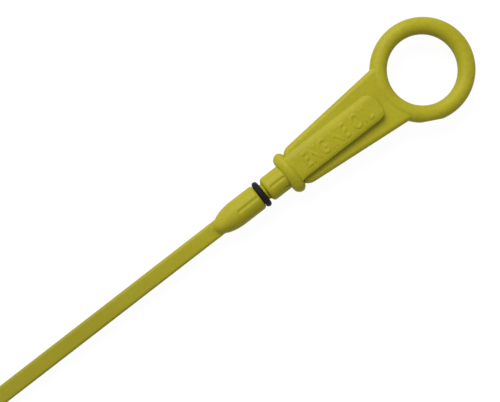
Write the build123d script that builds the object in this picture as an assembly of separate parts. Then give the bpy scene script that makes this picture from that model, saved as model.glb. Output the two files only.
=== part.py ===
from build123d import *
import os
from math import radians, sqrt, tan

# Engine oil dipstick: one plastic moulding, with a rubber ring in the groove of its plug.
# The stick lies along X, with the finger ring towards +X and the blade towards -X.
# The faces of the flag and of the blade look up and down, along Z.
# The origin is on the axis, in the plane where the flange stops on the mouth of its tube.
# Sizes are in millimetres and angles in degrees.

# Finger ring: an oval bar closed to a circle
ring_mean_radius = 15.1
ring_bar_width = 5.9
ring_bar_height = 5.8
ring_to_seat = 59.7

# Small flat on the rim of the ring, where the moulding was cut from its runner
gate_angle = 243.0
gate_flat_depth = 0.5

# Flag: the tapered plate between the ring and the flange
flag_thickness = 5.2
flag_to_seat = 3.5
flag_flange_width = 14.5
flag_side_angle = 5.0
flag_corner_radius = 4.1
flag_edge_radius = 1.7

# Raised panel: a straight bar that stands proud of both faces of the flag
panel_width = 9.8
panel_rise = 2.4
panel_to_ring_centre = 19.9
panel_corner_radius = 3.0
panel_crown_width = 2.4
panel_crown_drop = 0.6

# Flange: an oblong plate with crowned long sides, rounded towards the panel and bevelled towards the neck
flange_width = 15.6
flange_height = 12.0
flange_crown_radius = 13.0
flange_thickness = 4.2
flange_panel_round = 1.9
flange_bevel_drop = 0.8
flange_bevel_length = 2.0

# Plug: a neck with a rounded end, a groove for the rubber ring, a body and a bullet nose
neck_diameter = 9.0
neck_length = 7.7
neck_end_length = 1.3
neck_end_drop = 1.1
groove_diameter = 6.1
groove_width = 3.2
body_diameter = 9.25
body_length = 9.2
shoulder_length = 0.85
shoulder_drop = 0.4
nose_length = 9.8

# Sink lines: shallow hollows along the plug, left by the thick plastic as it shrank
sink_width = 1.7
sink_depth = 0.28
neck_sink_length = 5.4
body_sink_length = 8.3

# Blade, with two level marks across both faces near its tip
blade_width = 5.9
blade_thickness = 2.3
blade_edge_radius = 1.0
seat_to_tip = 282.2
low_mark_to_tip = 22.0
mark_spacing = 24.0
mark_width = 1.2
mark_depth = 0.25

# Rubber ring, stretched into the groove and pressed a little flat on its floor
rubber_section = 2.15
rubber_squash = 0.2
rubber_to_shoulder = 0.1

# Largest share of its wall that a round or a bevel may take
round_share = 0.9

# Places along the axis, and radii, that follow from those sizes
flange_middle = flange_thickness / 2
neck_end = -neck_length
body_start = neck_end - groove_width
nose_start = body_start - body_length
nose_end = nose_start - nose_length
neck_radius = neck_diameter / 2
groove_radius = groove_diameter / 2
body_radius = body_diameter / 2
ring_centre = Pos(ring_to_seat, 0, 0)
ring_outer_radius = ring_mean_radius + ring_bar_width / 2


def round_bottom_radius(width, depth):
    """Radius of a round-bottomed groove of this width and depth."""
    return (width**2 / 4 + depth**2) / (2 * depth)


def finger_ring():
    """Oval bar closed to a circle, with the gate flat cut on its rim.

    It is turned in two halves, so that the flag and the flat meet the near one alone.
    """
    quarters = [EllipticalCenterArc((ring_mean_radius, 0), ring_bar_width / 2, ring_bar_height / 2,
                                    start_angle=angle, arc_size=90) for angle in (0, 90, 180, 270)]
    section = Plane.XZ * make_face(Curve() + quarters)
    half_ring = revolve(section, Axis.Z, 180)
    ring = Rot(0, 0, -90) * half_ring + Rot(0, 0, 90) * half_ring
    cutter = Box(ring_bar_width, 2 * ring_mean_radius, 2 * ring_bar_height,
                 align=(Align.MIN, Align.CENTER, Align.CENTER))
    flat = Rot(0, 0, gate_angle) * Pos(ring_outer_radius - gate_flat_depth, 0, 0) * cutter
    return ring_centre * (ring - flat)


def flag():
    """Tapered plate with rounded edges, which ends on the centre line of the ring's bar."""
    near = flag_flange_width / 2
    far = near + (ring_to_seat - flag_to_seat) * tan(radians(flag_side_angle))
    outline = make_face(Polyline((flag_to_seat, near), (ring_to_seat, far),
                                 (ring_to_seat, -far), (flag_to_seat, -near), close=True))
    outline = fillet(outline.vertices().group_by(Axis.X)[0], flag_corner_radius)
    outline -= ring_centre * Circle(ring_mean_radius)
    plate = extrude(outline, flag_thickness / 2, both=True)
    rims = plate.edges().group_by(Axis.Z)
    outer = [edge for edge in rims[0] + rims[-1] if not on_ring_line(edge)]
    return fillet(outer, min(flag_edge_radius, round_share * flag_thickness / 2))


def on_ring_line(edge):
    """True for an edge of the flag that follows the centre line of the ring's bar."""
    return edge.geom_type == GeomType.CIRCLE and abs(edge.radius - ring_mean_radius) < 1e-6


def panel():
    """Straight bar through the flag, whose two faces are crowned towards their long edges."""
    half_width = panel_width / 2
    half_height = flag_thickness / 2 + panel_rise
    length = ring_to_seat - panel_to_ring_centre - flange_middle
    outline = Rectangle(length, panel_width, align=(Align.MIN, Align.CENTER))
    outline = fillet(outline.vertices().group_by(Axis.X)[-1], panel_corner_radius)
    bar = extrude(Pos(flange_middle, 0, 0) * outline, half_height, both=True)
    crown_drop = min(panel_crown_drop, round_share * panel_rise)
    flat = Line((0, half_height), (half_width - panel_crown_width, half_height))
    crown = TangentArc(flat @ 1, (half_width, half_height - crown_drop), tangent=flat % 1)
    side = Line(crown @ 1, (half_width, 0))
    quarter = flat + crown + side
    half = quarter + mirror(quarter, Plane.XZ)
    section = make_face(half + mirror(half, Plane.YZ))
    return bar & extrude(Plane.YZ * section, ring_to_seat)


def flange():
    """Oblong plate of four arcs, each tangent to the next."""
    half_width = flange_width / 2
    half_height = flange_height / 2
    crown_centre = half_height - flange_crown_radius
    end_radius = ((flange_crown_radius**2 - crown_centre**2 - half_width**2)
                  / (2 * (flange_crown_radius - half_width)))
    end_centre = half_width - end_radius
    spread = end_radius / (flange_crown_radius - end_radius)
    corner_y = end_centre * (1 + spread)
    corner_z = -crown_centre * spread
    with BuildSketch(Plane.YZ) as outline:
        with BuildLine():
            for side in (1, -1):
                ThreePointArc((-side * corner_y, side * corner_z), (0, side * half_height),
                              (side * corner_y, side * corner_z))
                ThreePointArc((side * corner_y, side * corner_z), (side * half_width, 0),
                              (side * corner_y, -side * corner_z))
        make_face()
    plate = extrude(outline.sketch, flange_thickness)
    bevel_drop = min(flange_bevel_drop, round_share * (half_height - neck_radius))
    bevel_length = min(flange_bevel_length, round_share * flange_thickness)
    panel_round = min(flange_panel_round, round_share * (flange_thickness - bevel_length))
    plate = fillet(plate.edges().group_by(Axis.X)[-1], panel_round)
    seat = plate.faces().sort_by(Axis.X)[0]
    return chamfer(seat.edges(), bevel_drop, bevel_length, reference=seat)


def plug():
    """Neck, groove, body and bullet nose, turned about the axis in one profile.

    The nose has two spans, so that the blade comes out of the far one alone.
    """
    neck_drop = min(neck_end_drop, round_share * (neck_radius - groove_radius))
    neck_round = neck_end + neck_end_length
    shoulder_rise = min(shoulder_drop, round_share * (body_radius - groove_radius))
    with BuildSketch() as profile:
        with BuildLine():
            Polyline((nose_end, 0), (flange_middle, 0), (flange_middle, neck_radius),
                     (neck_round, neck_radius))
            EllipticalCenterArc((neck_round, neck_radius - neck_drop), neck_end_length, neck_drop,
                                start_angle=90, arc_size=90)
            Polyline((neck_end, neck_radius - neck_drop), (neck_end, groove_radius),
                     (body_start, groove_radius), (body_start, body_radius - shoulder_rise),
                     (body_start - shoulder_length, body_radius), (nose_start, body_radius))
            for angle in (90, 135):
                EllipticalCenterArc((nose_start, 0), nose_length, body_radius, start_angle=angle, arc_size=45)
        make_face()
    return revolve(profile.sketch, Axis.X)


def sink_lines():
    """Round-ended cutters for the hollows along the top and the bottom of neck and body."""
    radius = round_bottom_radius(sink_width, sink_depth)
    cutters = []
    for start, length, surface in ((0, neck_sink_length, neck_radius),
                                   (body_start, body_sink_length, body_radius)):
        round_end = Pos(start - length, 0, 0) * Sphere(radius)
        cutter = bar_along_x(start - length, start, radius) + round_end
        for side in (1, -1):
            cutters.append(Pos(0, 0, side * (surface - sink_depth + radius)) * cutter)
    return cutters


def bar_along_x(start, stop, radius):
    """Round bar on the X axis between two places."""
    return Pos((start + stop) / 2, 0, 0) * Rot(0, 90, 0) * Cylinder(radius, stop - start)


def blade():
    """Flat blade from inside the plug to a round tip, with the level marks across it."""
    length = nose_start + seat_to_tip
    edge_radius = min(blade_edge_radius, round_share * blade_thickness / 2)
    section = RectangleRounded(blade_width, blade_thickness, edge_radius)
    root = Plane(origin=(nose_start, 0, 0), x_dir=(0, 1, 0), z_dir=(-1, 0, 0))
    outline = SlotOverall(2 * length, blade_width)
    plate = extrude(root * section, length)
    plate &= Pos(nose_start, 0, 0) * extrude(outline, blade_thickness, both=True)
    radius = round_bottom_radius(mark_width, mark_depth)
    height = blade_thickness / 2 - mark_depth + radius
    for place in (low_mark_to_tip, low_mark_to_tip + mark_spacing):
        for side in (1, -1):
            mark = Pos(place - seat_to_tip, 0, side * height) * Rot(90, 0, 0)
            plate -= mark * Cylinder(radius, 2 * blade_width)
    return plate


def dipstick_moulding():
    """The whole plastic piece in one solid."""
    moulding = finger_ring() + flag() + panel() + flange() + plug() + blade()
    for cutter in sink_lines():
        moulding -= cutter
    return moulding


def o_ring():
    """Rubber ring, flat where it sits on the floor of the groove."""
    half_section = rubber_section / 2
    half_flat = sqrt(half_section**2 - (half_section - rubber_squash) ** 2)
    middle = body_start + rubber_to_shoulder + half_section
    crown = groove_radius + rubber_section - rubber_squash
    flat = Line((middle - half_flat, groove_radius), (middle + half_flat, groove_radius))
    round_side = ThreePointArc(flat @ 1, (middle, crown), flat @ 0)
    return revolve(make_face(flat + round_side), Axis.X)


os.makedirs("parts", exist_ok=True)
for name, piece in (("dipstick_moulding", dipstick_moulding()), ("o_ring", o_ring())):
    export_step(piece, f"parts/{name}.step")
    size = piece.bounding_box().size
    print(f"{name}: {len(piece.solids())} solid, {piece.volume:.0f} mm3,"
          f" {size.X:.1f} x {size.Y:.1f} x {size.Z:.1f} mm")
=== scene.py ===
# %% [markdown]
# An engine oil dipstick: a finger ring, a tapered flag with a raised panel, a stop flange,
# a plug with a rubber ring in its groove, and a long flat blade. All of it but the rubber ring
# is one plastic moulding, so the work here is in soft moulded edges and a believable plastic.
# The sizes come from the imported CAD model, the frame, and this script dresses it.

# %% Load the frame and measure it
import math

import bmesh
import bpy
import numpy as np
from mathutils import Matrix, Vector


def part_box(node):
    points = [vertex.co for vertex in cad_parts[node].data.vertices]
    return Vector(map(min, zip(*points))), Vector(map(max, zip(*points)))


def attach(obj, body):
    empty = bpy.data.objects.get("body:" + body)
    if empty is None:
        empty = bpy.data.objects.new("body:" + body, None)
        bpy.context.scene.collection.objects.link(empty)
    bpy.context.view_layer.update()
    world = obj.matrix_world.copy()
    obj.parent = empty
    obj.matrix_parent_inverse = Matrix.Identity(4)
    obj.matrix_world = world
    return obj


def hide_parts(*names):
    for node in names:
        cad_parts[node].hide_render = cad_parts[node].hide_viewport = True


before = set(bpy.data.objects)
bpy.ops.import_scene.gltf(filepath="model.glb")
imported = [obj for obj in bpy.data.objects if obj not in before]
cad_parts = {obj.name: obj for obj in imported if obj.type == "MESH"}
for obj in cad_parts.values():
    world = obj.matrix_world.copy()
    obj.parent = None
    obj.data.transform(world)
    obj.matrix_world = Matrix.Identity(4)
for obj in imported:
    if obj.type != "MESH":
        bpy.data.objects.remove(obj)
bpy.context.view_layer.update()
MM = 0.001
moulding_low, moulding_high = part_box("dipstick_moulding")
rubber_low, rubber_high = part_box("o_ring")

# %% [markdown]
# Materials are written as sums. A Shade wraps one socket of the node tree, and the usual
# signs make the Math nodes: `1 - mask` or `grain * 0.2 + 0.4` reads like the sum it is. Every
# other node comes from one method, which sets the node's own settings first, then its sockets.


# %% A small class for shader sums
class Shade:
    def __init__(self, tree, socket=None):
        self.tree = tree
        self.socket = socket

    def node(self, kind, settings=None, output=0, **sockets):
        """Adds a node. A socket is named by its label, or by its number as i0, i1 and so on."""
        made = self.tree.nodes.new(kind)
        for name, value in (settings or {}).items():
            setattr(made, name, value)
        for name, value in sockets.items():
            key = int(name[1:]) if name[1:].isdigit() else name.replace("_", " ")
            self.put(made.inputs[key], value)
        return Shade(self.tree, made.outputs[output] if made.outputs else None)

    def put(self, target, value):
        if isinstance(value, Shade):
            self.tree.links.new(value.socket, target)
        else:
            target.default_value = value

    def sum(self, operation, *values):
        numbered = {f"i{k}": value for k, value in enumerate(values)}
        return self.node("ShaderNodeMath", {"operation": operation}, **numbered)

    def __add__(self, other):
        return self.sum("ADD", self, other)

    def __sub__(self, other):
        return self.sum("SUBTRACT", self, other)

    def __rsub__(self, other):
        return self.sum("SUBTRACT", other, self)

    def __mul__(self, other):
        return self.sum("MULTIPLY", self, other)

    __radd__ = __add__
    __rmul__ = __mul__

    def size(self):
        return self.sum("ABSOLUTE", self)

    def ramp(self, low, high):
        return self.node("ShaderNodeMapRange", {"interpolation_type": "SMOOTHSTEP"},
                         Value=self, From_Min=low, From_Max=high)

    def blend(self, first, second):
        return self.node("ShaderNodeMix", {"data_type": "RGBA"}, output=2, i0=self, i6=first, i7=second)


def new_finish(name, **constants):
    finish = bpy.data.materials.new(name)
    finish.use_nodes = True
    shader = finish.node_tree.nodes["Principled BSDF"]
    for socket, value in constants.items():
        shader.inputs[socket.replace("_", " ")].default_value = value
    start = Shade(finish.node_tree)
    place = start.node("ShaderNodeTexCoord", output="Object")
    return finish, shader, start, place


# %% [markdown]
# The moulding is a glossy olive-yellow plastic, a little satin from the mould's steel. Real
# mouldings are never one flat colour: the pigment is streaked a little along the flow of the
# melt, the gloss changes from place to place, and the skin is faintly wavy where thick plastic
# shrank. A thin raised line runs all round at mid height, where the two halves of the mould met.
# Towards the tip of the blade the colour grows darker: that is painted shade, for the lamp's light
# that falls off there.

# %% Colour of the olive plastic
PIGMENT = (0.357, 0.325, 0.012, 1)
PIGMENT_DEEP = (0.317, 0.284, 0.010, 1)
TIP_SHADE_COLOUR = (0.232, 0.208, 0.014, 1)
CREASE_SHADE_COLOUR = (0.160, 0.136, 0.007, 1)
TIP_SHADE_DEPTH = 0.6
TIP_SHADE_LENGTH = 100 * MM
STREAK_SCALE = (18, 190, 190)
plastic, shader, start, place = new_finish("olive_moulded_plastic", Specular_IOR_Level=0.16)
along = place.node("ShaderNodeMapping", Vector=place, Scale=STREAK_SCALE)
streak = place.node("ShaderNodeTexNoise", Vector=along, Scale=1.0, Detail=3.0, Roughness=0.5)
cloud = place.node("ShaderNodeTexNoise", Vector=place, Scale=70.0, Detail=2.0)
mottle = place.node("ShaderNodeTexNoise", Vector=place, Scale=800.0, Detail=3.0, Roughness=0.6)
flow = (streak * 0.35 + cloud * 0.25 + mottle * 0.4).ramp(0.38, 0.62)

station = place.node("ShaderNodeSeparateXYZ", output="X", i0=place)
# Painted shade: the colour darkens towards the tip of the blade, where the lamp's light falls off.
tip_shade = TIP_SHADE_DEPTH * (0 - station).ramp(0.0, TIP_SHADE_LENGTH)
colour = tip_shade.blend(flow.blend(PIGMENT_DEEP, PIGMENT), TIP_SHADE_COLOUR)
# Painted shade in the creases: the colour darkens where the skin's crease measure is high.
shade_in_creases = start.node("ShaderNodeAttribute", {"attribute_name": "crease_shade"}, output="Fac")
colour = shade_in_creases.ramp(0.2, 0.6).blend(colour, CREASE_SHADE_COLOUR)
start.put(shader.inputs["Base Color"], colour)
print("nodes of the plastic's colour:", len(plastic.node_tree.nodes))

# %% [markdown]
# The clouds of the colour also change the gloss, and its mottle is a low relief too, so that they
# fall together as they do in one melt. The heights are hundredths of a millimetre or less: one sees
# them only in the way the light breaks. The parting line reads the height above the middle plane.

# %% Gloss and relief of the olive plastic
WAVE_HEIGHT = 0.06 * MM
MOTTLE_HEIGHT = 0.008 * MM
GRAIN_HEIGHT = 0.0012 * MM
PARTING_HEIGHT = 0.02 * MM
PARTING_CORE, PARTING_EDGE = 0.03 * MM, 0.12 * MM
grain = place.node("ShaderNodeTexNoise", Vector=place, Scale=2600.0, Detail=2.0)
wave = place.node("ShaderNodeTexNoise", Vector=place, Scale=170.0, Detail=1.0)
level = place.node("ShaderNodeSeparateXYZ", output="Z", i0=place)
parting = 1 - level.size().ramp(PARTING_CORE, PARTING_EDGE)
relief = wave * WAVE_HEIGHT + mottle * MOTTLE_HEIGHT + grain * GRAIN_HEIGHT + parting * PARTING_HEIGHT
bump = start.node("ShaderNodeBump", Height=relief, Distance=1.0, Strength=0.5)
start.put(shader.inputs["Roughness"], 0.42 + cloud * 0.10 + grain * 0.06)
start.put(shader.inputs["Normal"], bump)
print("nodes of the whole plastic:", len(plastic.node_tree.nodes))

# %% [markdown]
# The seal is a black rubber ring. Rubber is matt with a soft shine, and a thin witness line of
# its own mould runs round the crown, so the bump reads the ring's place along the stick.

# %% Black rubber
RUBBER_DARK = (0.004, 0.004, 0.004, 1)
RUBBER_DUSTY = (0.009, 0.009, 0.008, 1)
SEAM_CORE, SEAM_EDGE = 0.02 * MM, 0.10 * MM
SEAM_HEIGHT = 0.03 * MM
PORE_HEIGHT = 0.004 * MM
rubber, shader, start, place = new_finish("black_seal_rubber", Specular_IOR_Level=0.12)
middle = (rubber_low.x + rubber_high.x) / 2
station = place.node("ShaderNodeSeparateXYZ", output="X", i0=place)
seam = 1 - (station - middle).size().ramp(SEAM_CORE, SEAM_EDGE)
dust = place.node("ShaderNodeTexNoise", Vector=place, Scale=900.0, Detail=3.0)
pores = place.node("ShaderNodeTexNoise", Vector=place, Scale=5200.0, Detail=1.0)
colour = dust.ramp(0.35, 0.75).blend(RUBBER_DARK, RUBBER_DUSTY)
relief = pores * PORE_HEIGHT + seam * SEAM_HEIGHT
bump = start.node("ShaderNodeBump", Height=relief, Distance=1.0, Strength=0.6)
start.put(shader.inputs["Base Color"], colour)
start.put(shader.inputs["Roughness"], 0.50 + dust * 0.2)
start.put(shader.inputs["Normal"], bump)
print("rubber nodes:", len(rubber.node_tree.nodes))

# %% [markdown]
# The raised panel carries plain words in low relief. They are set with Blender's built-in
# font, made a solid mesh, and laid a little into the panel, so that the next step can melt them
# into the moulding as the engraved steel of the mould would. They stand too proud at first, so that
# the new skin catches them, and are pressed back to their low relief later.


# %% Raised words on the panel
def add_piece(name, mesh):
    piece = bpy.data.objects.new(name, mesh)
    bpy.context.scene.collection.objects.link(piece)
    return piece


def plain_mesh(piece):
    shown = piece.evaluated_get(bpy.context.evaluated_depsgraph_get())
    return bpy.data.meshes.new_from_object(shown)


def drop(piece):
    bpy.data.objects.remove(piece, do_unlink=True)


PANEL_PART = (15 * MM, 50 * MM)
panel_corners = [v.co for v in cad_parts["dipstick_moulding"].data.vertices
                 if PANEL_PART[0] < v.co.x < PANEL_PART[1]]
PANEL_FACE = max(corner.z for corner in panel_corners)
WORDS_MIDDLE = 22.2 * MM
WORDS_LENGTH = 28.0 * MM
WORDS_HEIGHT = 5.4 * MM
WORDS_RISE = 0.17 * MM
WORDS_PROUD = 0.5 * MM
type_case = bpy.data.curves.new("words", "FONT")
type_case.body = "ENGINE OIL"
type_case.space_character = 1.12
type_case.extrude = 0.5
type_case.offset = 0.02
setting = add_piece("words", type_case)
words = plain_mesh(setting)
drop(setting)
points = np.array([v.co for v in words.vertices])
low, high = points.min(0), points.max(0)
points = (points - (low + high) / 2) / (high - low)
points *= (WORDS_LENGTH, WORDS_HEIGHT, 2 * WORDS_PROUD)
points += (WORDS_MIDDLE, 0, PANEL_FACE)
words.vertices.foreach_set("co", points.astype(np.float32).ravel())
print("words, mm:", np.round((points.max(0) - points.min(0)) / MM, 2))

# %% [markdown]
# CAD joins meet in sharp lines, but in a moulding every inner corner is softened, because
# sharp steel corners tear the melt. The CAD mesh and the words are joined and rebuilt as one skin
# by a voxel remesh, and a few smoothing passes round each line by some tenths of a millimetre.

# %% Moulded skin
VOXEL = 0.2 * MM
SMOOTHING_PASSES = 2
MERGE, MERGE_WORDS = 0.001 * MM, 0.0001 * MM
joined = bmesh.new()
joined.from_mesh(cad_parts["dipstick_moulding"].data)
bmesh.ops.remove_doubles(joined, verts=joined.verts, dist=MERGE)
joined.from_mesh(words)
bmesh.ops.remove_doubles(joined, verts=joined.verts, dist=MERGE_WORDS)
block = bpy.data.meshes.new("block")
joined.to_mesh(block)
joined.free()
core = add_piece("core", block)
skin = core.modifiers.new("skin", "REMESH")
skin.mode = "VOXEL"
skin.voxel_size = VOXEL
soft = core.modifiers.new("soft", "SMOOTH")
soft.factor = 0.5
soft.iterations = SMOOTHING_PASSES
dense = plain_mesh(core)
drop(core)
print("points of the dense skin:", len(dense.vertices))

# %% [markdown]
# The CAD mesh is a net of flat facets, and the skin has copied them. On the real moulding the
# ring and the plug are truly round, because their hollows were turned in the steel, and facets
# would show as bands in a soft light. So every point that lies close to one of those ovals will be
# drawn onto it. First each point gets its place in millimetres and the directions that lead away from
# the ring's middle and from the stick's axis. The ring is the widest part, so the widest place is also
# its radius, and its middle lies that far from the end of the stick.


# %% Places and directions on the skin
def read(items, name, width, kind=np.float64):
    values = np.empty(len(items) * width, dtype=kind)
    items.foreach_get(name, values)
    return values.reshape(-1, width)


points = read(dense.vertices, "co", 3)
x, y, z = points.T / MM
nought = np.zeros_like(x)
ring_place = (moulding_high.x - moulding_high.y) / MM
from_ring = np.hypot(x - ring_place, y)
from_axis = np.hypot(y, z)
ahead = np.array((1.0, 0, 0))
upward = np.array((0, 0, 1.0))
off_ring = np.stack((x - ring_place, y, nought), 1) / from_ring[:, None]
off_axis = np.stack((nought, y, z), 1) / from_axis[:, None]
to_side = np.stack((nought, np.sign(y), nought), 1)
to_face = np.stack((nought, nought, np.sign(z)), 1)
print("middle of the finger ring, mm:", round(ring_place, 2))

# %% [markdown]
# The flange is an oblong bead. Its rim is made of four arcs, each tangent to the next: two crowns
# above and below, and two tighter ends. Along the stick, the bead is a half oval that is shorter
# towards the panel at its ends. Sizes from here on are in millimetres.

# %% Oval of the flange
END_PLACE, END_RADIUS = 2.54, 5.26
CROWN_DROP, CROWN_RADIUS = 4.0, 10.0
BEAD_CREST, BEAD_DEPTH = 2.6, 2.3
BEAD_START, BEAD_END = -0.1, 4.6
BEAD_TRIM, BEAD_MARGIN = 0.7, 0.4
NECK_CLEAR = 4.6
at_end = (abs(y) - END_PLACE) * CROWN_DROP > abs(z) * END_PLACE
rim_y = np.where(at_end, abs(y) - END_PLACE, abs(y))
rim_z = np.where(at_end, abs(z), abs(z) + CROWN_DROP)
rim_reach = np.hypot(rim_y, rim_z)
off_rim = (to_side * rim_y[:, None] + to_face * rim_z[:, None]) / rim_reach[:, None]
in_bead = rim_reach - np.where(at_end, END_RADIUS, CROWN_RADIUS) + BEAD_DEPTH
towards_end = np.clip(abs(y) / 2 - 2, 0, 1)
bead_end = BEAD_END - BEAD_TRIM * towards_end
bead_half = np.where(x > BEAD_CREST, bead_end - BEAD_CREST, BEAD_CREST)
beaded = (x > BEAD_START) & (x < bead_end - BEAD_MARGIN) & (in_bead > 0) & (from_axis > NECK_CLEAR)
print("points of the flange's bead:", int(beaded.sum()))

# %% [markdown]
# Each oval is given by two directions, the distances along them and its half sizes. A point goes to
# the nearest oval within its grasp, and the pull fades out at the edge of the grasp, so that no step
# is left. The grasp is fine where the oval only mends facets, and coarse on the flange, whose bead
# is fuller than the CAD model's.

# %% How a point is drawn onto an oval
FINE, COARSE = 0.12, 0.8
FADE_SHARE = 0.4
nearest = np.full(len(points), COARSE)
move = np.zeros_like(points)


def draw_onto(name, grasp, inside, way_u, u, half_u, way_v, v, half_v):
    reach = np.hypot(u / half_u, v / half_v) + 1e-9
    shift_u, shift_v = u / reach - u, v / reach - v
    gap = np.hypot(shift_u, shift_v)
    closer = inside & (gap < nearest) & (gap < grasp)
    nearest[closer] = gap[closer]
    pull = np.clip((grasp - gap) / (FADE_SHARE * grasp), 0, 1)
    move[closer] = ((pull * shift_u)[:, None] * way_u + (pull * shift_v)[:, None] * way_v)[closer]
    print(name, "points:", int(closer.sum()), "mean gap, mm:", round(float(gap[closer].mean()), 3))


# %% [markdown]
# The ovals themselves have the sizes of the CAD model. A straight round, such as the neck, is an oval
# with no distance along the stick, so that its points only move towards the axis or away from it.

# %% True rounds
RING_PART = 40
RING_RADIUS, BAR_HALF_WIDTH, BAR_HALF_HEIGHT = 15.1, 2.95, 2.9
NECK_RADIUS = 4.5
NECK_ROUND, NECK_ROUND_LENGTH, NECK_ROUND_DROP, NECK_CORE = -6.4, 1.3, 1.1, 3.4
BODY_START, BODY_RADIUS = -11.75, 4.625
NOSE_START, NOSE_LENGTH = -20.1, 9.8
CROWN_START, CROWN_STOP, CROWN_FOOT = 5, 39, 4.2
PANEL_FLAT, PANEL_CROWN, PANEL_CROWN_SINK = 2.5, 5.1, 0.1
at_ring = x > RING_PART
at_neck = (x > NECK_ROUND) & (x < 0)
at_body = (x > NOSE_START) & (x < BODY_START)
crowned = (x > CROWN_START) & (x < CROWN_STOP) & (abs(y) > PANEL_FLAT) & (abs(z) > CROWN_FOOT)
draw_onto("finger ring", FINE, at_ring,
          off_ring, from_ring - RING_RADIUS, BAR_HALF_WIDTH, upward, z, BAR_HALF_HEIGHT)
draw_onto("flange", COARSE, beaded,
          ahead, x - BEAD_CREST, bead_half, off_rim, in_bead, BEAD_DEPTH)
draw_onto("neck", FINE, at_neck,
          ahead, nought, 1, off_axis, from_axis, NECK_RADIUS)
draw_onto("neck end", FINE, x < NECK_ROUND,
          ahead, x - NECK_ROUND, NECK_ROUND_LENGTH, off_axis, from_axis - NECK_CORE, NECK_ROUND_DROP)
draw_onto("body", FINE, at_body,
          ahead, nought, 1, off_axis, from_axis, BODY_RADIUS)
draw_onto("nose", FINE, x < NOSE_START,
          ahead, x - NOSE_START, NOSE_LENGTH, off_axis, from_axis, BODY_RADIUS)
draw_onto("panel crown", FINE, crowned,
          to_side, abs(y) - PANEL_FLAT, PANEL_CROWN, to_face, abs(z) + PANEL_CROWN_SINK, PANEL_CROWN)
points += move * MM

# %% [markdown]
# The shading in the photo suggests that the nose keeps its height longer than its width, though a
# different light could look the same, so this is a guess. Its top and its underside are made fuller
# than on a turned nose: its points move away from the middle plane, by a share that grows towards the
# blade. The points of the blade lie outside the nose and stay.

# %% Fuller nose
FULLNESS, FULLNESS_POWER = 0.37, 2.3
NOSE_MARGIN = 1.03
x, y, z = points.T / MM
to_tip = np.clip((NOSE_START - x) / NOSE_LENGTH, 0, 1)
on_nose = (to_tip > 0) & (np.hypot(to_tip, np.hypot(y, z) / BODY_RADIUS) < NOSE_MARGIN)
lift = FULLNESS * to_tip[on_nose] ** FULLNESS_POWER * points[on_nose, 2]
points[on_nose, 2] += lift
dense.vertices.foreach_set("co", points.ravel())
dense.update()
print("largest lift of the nose, mm:", round(float(abs(lift).max() / MM), 2))

# %% [markdown]
# One long side of the panel stands a little further in than in the CAD model, and it leans: a
# moulded wall needs such a lean, or draft, to slide out of the steel. The shift fades out towards
# the ends of the panel and on both sides of the wall. The words are pressed back in the same step.


# %% Wall of the panel and relief of the words
def window(values, low, high, fade):
    """One between two limits, fading to nought at both."""
    return np.clip(np.minimum(values - low, high - values) / fade, 0, 1)


WALL_SHIFT, WALL_LEAN = 0.17, 0.03
WALL_FOOT, WALL_HALF_WAY, WALL_TOP = 2.6, 3.5, 4.6
ACROSS_WALL, UP_WALL, ALONG_WALL = (3.9, 6.2, 0.9), (2.2, 9, 0.3), (3.5, 40, 2.5)
WORDS_START = 6
x, y, z = points.T / MM
beside = window(-y, *ACROSS_WALL) * window(abs(z), *UP_WALL) * window(x, *ALONG_WALL)
lean = WALL_LEAN * (np.clip(abs(z), WALL_FOOT, WALL_TOP) - WALL_HALF_WAY)
sideways = (WALL_SHIFT + lean) * beside
points[:, 1] += sideways * MM
proud = (x > WORDS_START) & (points[:, 2] > PANEL_FACE)
points[proud, 2] = PANEL_FACE + (points[proud, 2] - PANEL_FACE) * WORDS_RISE / WORDS_PROUD
dense.vertices.foreach_set("co", points.ravel())
dense.update()
print("largest shift, mm:", round(float(sideways.max()), 2))
print("points of the words:", int(proud.sum()))

# %% [markdown]
# Two inner corners are softer than the rest: where the bullet nose runs out into the flat blade,
# and where the panel meets the flange. There each point that has its neighbours above it is
# lifted towards them, again and again, so the corner fills in and nothing that stands out is lost.


# %% Fill two hollows
def gather(at_first, at_second):
    """Sum over the edges of each point, from a value for either end of an edge."""
    return np.bincount(first, at_first, len(points)) + np.bincount(second, at_second, len(points))


def neighbour_mean(values):
    return gather(values[second], values[first]) / neighbours


FILL_PASSES = 60
FILL_STEP = 0.5
NOSE_CORNER = (-34, -24, 3)
PANEL_CORNER_SHARE = 0.8
PANEL_CORNER_X, PANEL_CORNER_Y, PANEL_CORNER_Z = (2.2, 8, 1.5), (-1, 5.2, 1), (4.0, 9, 0.5)
first, second = read(dense.edges, "vertices", 2, np.int64).T
neighbours = np.maximum(gather(None, None), 1)
normals = read(dense.vertices, "normal", 3)
x, y, z = points.T / MM
share = window(x, *NOSE_CORNER)
panel_corner = PANEL_CORNER_SHARE * window(x, *PANEL_CORNER_X) * window(abs(z), *PANEL_CORNER_Z)
share += panel_corner * window(abs(y), *PANEL_CORNER_Y)
before = points.copy()
for _ in range(FILL_PASSES):
    mean = np.stack([neighbour_mean(column) for column in points.T], 1)
    rise = np.maximum(((mean - points) * normals).sum(1), 0) * share
    points += FILL_STEP * rise[:, None] * normals
dense.vertices.foreach_set("co", points.ravel())
dense.update()
print("largest fill, mm:", round(float(np.linalg.norm(points - before, axis=1).max() / MM), 2))
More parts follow.
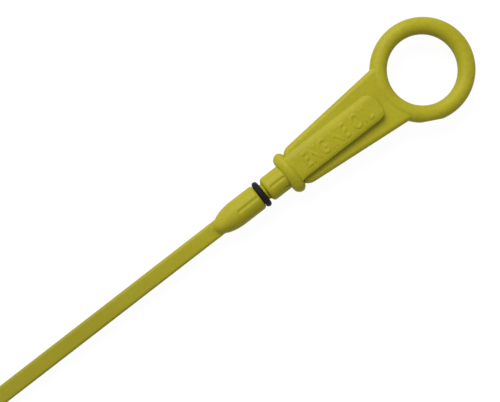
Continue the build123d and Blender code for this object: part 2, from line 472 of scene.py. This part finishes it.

# %% [markdown]
# Creases look darker on a real moulding, because light is lost in them: here that shade is painted
# into the colour. The skin measures this itself. At each point, neighbours that stand above the surface
# mean an inner corner. It counts less on slopes that face the lamp, because the light reaches into
# those, and least on the low words. It is smoothed and kept as an attribute, which the plastic reads as
# painted shade.

# %% Measure the creases
CREASE_PASSES = 2
LAMP_WEIGHT = 0.8
WORDS_WEIGHT = 0.5
normals = read(dense.vertices, "normal", 3)
step = points[second] - points[first]
length = (step**2).sum(1) + 1e-12
above_first = (step * normals[first]).sum(1) / length
above_second = -(step * normals[second]).sum(1) / length
bend = gather(above_first, above_second) / neighbours
for _ in range(CREASE_PASSES):
    bend = 0.5 * bend + 0.5 * neighbour_mean(bend)
off_lamp = np.clip(LAMP_WEIGHT - LAMP_WEIGHT * normals[:, 1], 0, 1)
crease_shade = np.clip(bend * MM, 0, 1) * off_lamp
crease_shade[proud] *= WORDS_WEIGHT
layer = dense.attributes.new("crease_shade", "FLOAT", "POINT")
layer.data.foreach_set("value", crease_shade.astype(np.float32))
print("share of the skin in creases:", round(float((crease_shade > 0.2).mean()), 3))

# %% [markdown]
# A dense net has done its work once the shapes are right. A decimation thins the flat faces,
# which need few triangles, and leaves the curved ones fine.

# %% Thin the skin
SKIN_SHARE = 0.35
core = add_piece("core", dense)
thin = core.modifiers.new("thin", "DECIMATE")
thin.ratio = SKIN_SHARE
moulding_mesh = plain_mesh(core)
drop(core)
moulding_mesh.name = "moulded_stick"
print("skin triangles:", sum(len(p.vertices) - 2 for p in moulding_mesh.polygons))

# %% [markdown]
# The finished skin is one piece, smooth shaded, in the plastic.

# %% Put the moulding in place
moulding_mesh.materials.clear()
moulding_mesh.materials.append(plastic)
moulding_mesh.polygons.foreach_set("use_smooth", np.ones(len(moulding_mesh.polygons), dtype=bool))
moulding = add_piece("moulded_stick", moulding_mesh)
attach(moulding, "root")
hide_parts("dipstick_moulding")
print("moulding box, mm:", [round(v / MM, 1) for v in moulding.dimensions])

# %% [markdown]
# The rubber ring follows a rule: one round section swept along a circle, pressed flat where
# it sits on the groove's floor. That is a job for Geometry Nodes. The section's points that
# would sink below the floor are lifted back onto it, and the sweep makes the ring.


# %% Rule of the rubber ring
SECTION_SIDES, RING_SIDES = 40, 144


def rubber_tree():
    tree = bpy.data.node_groups.new("rubber_ring", "GeometryNodeTree")
    tree.interface.new_socket("Geometry", in_out="OUTPUT", socket_type="NodeSocketGeometry")
    for name in ("Section Radius", "Section Centre", "Floor Radius", "Place"):
        tree.interface.new_socket(name, in_out="INPUT", socket_type="NodeSocketFloat")
    tree.interface.new_socket("Rubber", in_out="INPUT", socket_type="NodeSocketMaterial")
    nodes, links = tree.nodes, tree.links
    given = nodes.new("NodeGroupInput")
    result = nodes.new("NodeGroupOutput")

    def add(kind, inputs=(), **settings):
        made = nodes.new(kind)
        for name, value in settings.items():
            setattr(made, name, value)
        for key, value in inputs:
            if isinstance(value, bpy.types.NodeSocket):
                links.new(value, made.inputs[key])
            else:
                made.inputs[key].default_value = value
        return made

    sizes = given.outputs
    section = add("GeometryNodeCurvePrimitiveCircle",
                  [("Resolution", SECTION_SIDES), ("Radius", sizes["Section Radius"])])
    where = add("GeometryNodeInputPosition")
    parts = add("ShaderNodeSeparateXYZ", [(0, where.outputs[0])])
    floor_side = add("ShaderNodeMath",
                     [(0, sizes["Floor Radius"]), (1, sizes["Section Centre"])], operation="SUBTRACT")
    pressed = add("ShaderNodeMath",
                  [(0, parts.outputs["X"]), (1, floor_side.outputs[0])], operation="MAXIMUM")
    lifted = add("ShaderNodeCombineXYZ", [("X", pressed.outputs[0]), ("Y", parts.outputs["Y"])])
    flat = add("GeometryNodeSetPosition",
               [("Geometry", section.outputs[0]), ("Position", lifted.outputs[0])])
    path = add("GeometryNodeCurvePrimitiveCircle",
               [("Resolution", RING_SIDES), ("Radius", sizes["Section Centre"])])
    sweep = add("GeometryNodeCurveToMesh",
                [("Curve", path.outputs[0]), ("Profile Curve", flat.outputs[0])])
    along_stick = add("ShaderNodeCombineXYZ", [("X", sizes["Place"])])
    turn = add("GeometryNodeTransform",
               [("Geometry", sweep.outputs[0]), ("Translation", along_stick.outputs[0]),
                ("Rotation", (0, math.pi / 2, 0))])
    smooth = add("GeometryNodeSetShadeSmooth", [("Geometry", turn.outputs[0])])
    real = add("GeometryNodeRealizeInstances", [("Geometry", smooth.outputs[0])])
    painted = add("GeometryNodeSetMaterial",
                  [("Geometry", real.outputs[0]), ("Material", sizes["Rubber"])])
    links.new(painted.outputs[0], result.inputs[0])
    return tree


ring_rule = rubber_tree()
print("nodes of the ring's rule:", len(ring_rule.nodes))

# %% [markdown]
# The rule is then fed with sizes measured on the CAD ring. The result is turned into a plain mesh,
# its seam is merged, and its faces are made to point outwards, so that it is closed like the real ring.

# %% Rubber ring from the rule
section_radius = (rubber_high.x - rubber_low.x) / 2
section_centre = rubber_high.z - section_radius
cad_ring = np.array([v.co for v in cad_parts["o_ring"].data.vertices])
floor_radius = float(np.hypot(cad_ring[:, 1], cad_ring[:, 2]).min())
maker = add_piece("ring_maker", bpy.data.meshes.new("ring_maker"))
sweep = maker.modifiers.new("ring", "NODES")
sweep.node_group = ring_rule
ring_sizes = {"Section Radius": section_radius, "Section Centre": section_centre,
              "Floor Radius": floor_radius, "Place": middle, "Rubber": rubber}
for socket in sweep.node_group.interface.items_tree:
    if socket.in_out == "INPUT":
        sweep[socket.identifier] = ring_sizes[socket.name]
ring_mesh = plain_mesh(maker)
drop(maker)
ring_mesh.name = "rubber_ring"
shell = bmesh.new()
shell.from_mesh(ring_mesh)
bmesh.ops.remove_doubles(shell, verts=shell.verts, dist=MERGE)
bmesh.ops.recalc_face_normals(shell, faces=shell.faces)
shell.to_mesh(ring_mesh)
shell.free()
seal = add_piece("rubber_ring", ring_mesh)
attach(seal, "root")
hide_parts("o_ring")
ring_points = read(ring_mesh.vertices, "co", 3)
ring_reach = np.hypot(ring_points[:, 1], ring_points[:, 2]) / MM
print("inside radius of the rubber ring, mm:", round(float(ring_reach.min()), 2))
print("outside radius of the rubber ring, mm:", round(float(ring_reach.max()), 2))

# %% [markdown]
# The CAD nodes stay in the file, hidden by the pieces that stand for them. They get the same two
# finishes, so that they look right wherever they are shown by themselves.

# %% Finishes on the CAD nodes
for node, finish in (("dipstick_moulding", plastic), ("o_ring", rubber)):
    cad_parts[node].data.materials.clear()
    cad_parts[node].data.materials.append(finish)
    print(node, "has the finish", finish.name)

# %% [markdown]
# The stick is photographed on plain white. A floor and a world that are lit up to full white would
# throw too much light back onto the plastic, so they are white only where they are seen directly, by
# the camera or as a reflection. The Light Path node tells those rays from the light that bounces.


# %% White that is only seen
def seen_directly(start):
    """One for the camera's rays and for reflections, nought for the light that bounces."""
    paths = [start.node("ShaderNodeLightPath", output=f"Is {kind} Ray")
             for kind in ("Camera", "Glossy", "Transmission")]
    return start.sum("MINIMUM", paths[0] + paths[1] + paths[2], 1.0)


white = bpy.data.materials.new("white_floor")
white.use_nodes = True
tree = white.node_tree
tree.nodes.clear()
start = Shade(tree)
FLOOR_PAINT, FLOOR_SEEN_PAINT, FLOOR_GLOW = 0.60, 0.07, 0.95
seen = seen_directly(start)
shade = FLOOR_PAINT - seen * (FLOOR_PAINT - FLOOR_SEEN_PAINT)
grey = start.node("ShaderNodeCombineColor", i0=shade, i1=shade, i2=shade)
paint = start.node("ShaderNodeBsdfDiffuse", Color=grey)
glow = start.node("ShaderNodeEmission", Color=(1, 1, 1, 1), Strength=seen * FLOOR_GLOW)
both = start.node("ShaderNodeAddShader", i0=paint, i1=glow)
start.node("ShaderNodeOutputMaterial", Surface=both)
print("nodes of the white floor:", len(tree.nodes))

# %% [markdown]
# The stick lies on the rim of its flange and on the tip of its blade, so the floor is a plane through
# those two places, tilted by about a degree. Its glow alone falls a little short of full white, and
# the lit paint makes up the rest, so that the soft shadow still shows.

# %% Floor
RIM_PLACE = 2.1 * MM
BLADE_HALF_THICKNESS = 1.15 * MM
FLOOR_REACH = 4.0
rest_drop = (-BLADE_HALF_THICKNESS - moulding_low.z) / (moulding_low.x - RIM_PLACE)
corners = [(FLOOR_REACH * i, FLOOR_REACH * j, moulding_low.z + rest_drop * (FLOOR_REACH * i - RIM_PLACE))
           for i, j in ((-1, -1), (1, -1), (1, 1), (-1, 1))]
floor_mesh = bpy.data.meshes.new("floor")
floor_mesh.from_pydata(corners, [], [(0, 1, 2, 3)])
floor_mesh.materials.append(white)
floor = add_piece("floor", floor_mesh)
print("floor tilt, degrees:", round(math.degrees(math.atan(rest_drop)), 2))

# %% [markdown]
# The light is soft and comes from the upper left of the picture, across the stick: the slopes
# that face it are about a third brighter than the flat faces, and those that turn away lose
# half. One large lamp does that, with an even pale world to fill in.

# %% Light
WORLD_FILL = 0.44
world = bpy.data.worlds.new("studio")
bpy.context.scene.world = world
world.use_nodes = True
tree = world.node_tree
tree.nodes.clear()
start = Shade(tree)
glimpse = WORLD_FILL + seen_directly(start) * (1 - WORLD_FILL)
fill = start.node("ShaderNodeBackground", Color=(1, 1, 1, 1), Strength=glimpse)
start.node("ShaderNodeOutputWorld", Surface=fill)

KEY_AIM = Vector((0.02, 0, 0))
KEY_WAY = Vector((0.03, 0.69, 0.70)).normalized()
KEY_DISTANCE = 0.95
lamp = bpy.data.lights.new("key", "AREA")
lamp.shape = "SQUARE"
lamp.size = 0.62
lamp.energy = 9.5
key = add_piece("key", lamp)
key.location = KEY_AIM + KEY_WAY * KEY_DISTANCE
key.rotation_euler = KEY_WAY.to_track_quat("Z", "Y").to_euler()
print("key lamp at", [round(v, 2) for v in key.location])

# %% [markdown]
# The camera looks straight down from close by, so the higher parts look a little larger. Its place
# follows from the picture: the stick's axis runs up to the right, and the middle of the finger ring
# has to land on one pixel at one scale. Three unit vectors, right, up and back, carry that over.

# %% Camera
PICTURE_WIDTH, PICTURE_HEIGHT = 500, 402
RING_CENTRE = Vector((59.7 * MM, 0, 0))
RING_PIXEL = (422.38, 69.84)
PIXEL = 0.3415 * MM
AXIS_TURN = math.radians(37.74)
DISTANCE = 0.24
SENSOR = 36
right = Vector((math.cos(AXIS_TURN), -math.sin(AXIS_TURN), 0))
up = Vector((math.sin(AXIS_TURN), math.cos(AXIS_TURN), 0))
back = Vector((0, 0, 1))
aim = RING_CENTRE - right * (RING_PIXEL[0] - PICTURE_WIDTH / 2) * PIXEL
aim -= up * (PICTURE_HEIGHT / 2 - RING_PIXEL[1]) * PIXEL
lens = bpy.data.cameras.new("camera")
lens.sensor_width = SENSOR
lens.lens = SENSOR * DISTANCE / (PICTURE_WIDTH * PIXEL)
lens.clip_start = 0.01
camera = add_piece("camera", lens)
camera.location = aim + back * DISTANCE
camera.rotation_mode = "QUATERNION"
camera.rotation_quaternion = Matrix((right, up, back)).transposed().to_quaternion()
bpy.context.scene.camera = camera
bpy.context.scene.view_settings.view_transform = "Standard"
print("lens, mm:", round(lens.lens, 1), "aim, mm:", [round(v / MM, 1) for v in aim])
